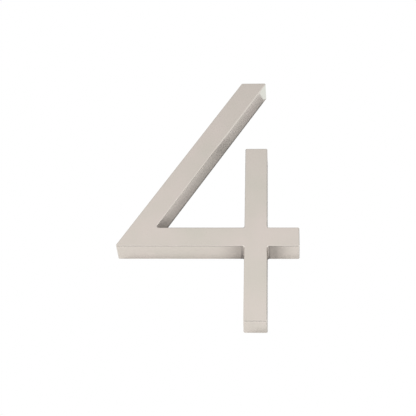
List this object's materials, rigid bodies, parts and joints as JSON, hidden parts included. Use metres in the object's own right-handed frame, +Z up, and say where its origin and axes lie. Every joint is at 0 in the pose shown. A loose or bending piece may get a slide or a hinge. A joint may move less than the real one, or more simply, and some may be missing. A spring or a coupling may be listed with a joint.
{
  "type": "house number four",
  "caption": "Flat open-topped figure four with square strokes, satin metal, with two blind tapped stud holes in its flat back.",
  "frame": {"origin": "on the flat back, where the middle of the stem crosses the middle of the level bar", "axes": "+Z up the stem as the figure is read, +X to the reader's right, +Y into the wall, so the face looks along -Y"},
  "size_m": [0.0661, 0.0097, 0.1019],
  "materials": {
    "satin_nickel": "fine satin, nickel plated"
  },
  "bodies": {
    "root": {"figure_four": "satin_nickel"}
  },
  "joints": []
}
